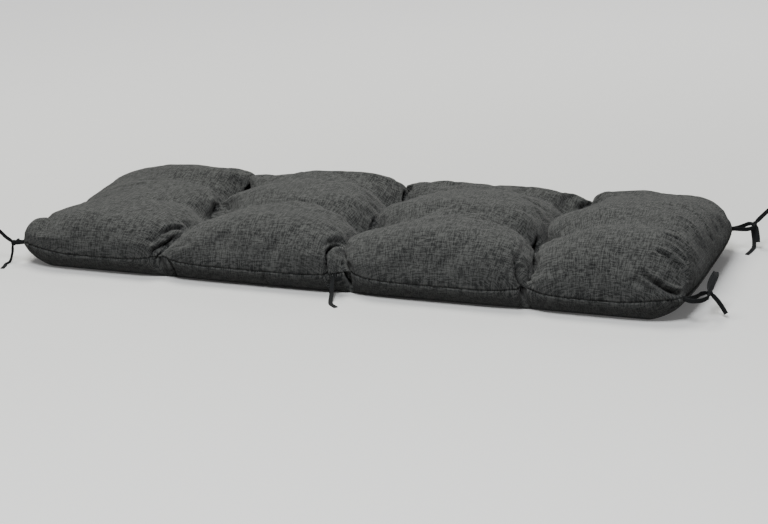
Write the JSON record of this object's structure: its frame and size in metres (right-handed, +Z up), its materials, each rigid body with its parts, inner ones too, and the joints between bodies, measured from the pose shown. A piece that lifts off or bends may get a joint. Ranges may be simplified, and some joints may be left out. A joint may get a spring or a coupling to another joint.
{
  "type": "bench cushion",
  "caption": "Long filled bench cushion with deep tufted creases, soft rounded lobes, a plain perimeter seam and narrow fabric ties at its corners and front edge",
  "frame": {"origin": "centre of the cushion's box, on the surface that the cushion lies on", "axes": "+X along the cushion to its right end, +Y to its rear edge, +Z up"},
  "size_m": [1.6127, 0.6255, 0.1527],
  "materials": {
    "cloth": "matt charcoal melange plain weave with irregular light grey slub threads in both directions",
    "tape": "near-black narrow folded and stitched tape, matt"
  },
  "bodies": {
    "root": {"cushion": "cloth", "knot_front_left": "tape", "knot_front_right": "tape", "knot_rear_left": "tape", "knot_rear_right": "tape", "tie_front_left_a": "tape", "tie_front_left_b": "tape", "tie_front_left_end_down": "tape", "tie_front_left_end_up": "tape", "tie_front_middle_long": "tape", "tie_front_middle_short": "tape", "tie_front_right_a": "tape", "tie_front_right_b": "tape", "tie_front_right_bow": "tape", "tie_front_right_end": "tape", "tie_rear_left_a": "tape", "tie_rear_left_b": "tape", "tie_rear_left_end_a": "tape", "tie_rear_left_end_b": "tape", "tie_rear_right_a": "tape", "tie_rear_right_b": "tape", "tie_rear_right_end_down": "tape", "tie_rear_right_end_up": "tape", "tie_rear_right_tail": "tape"}
  },
  "joints": []
}
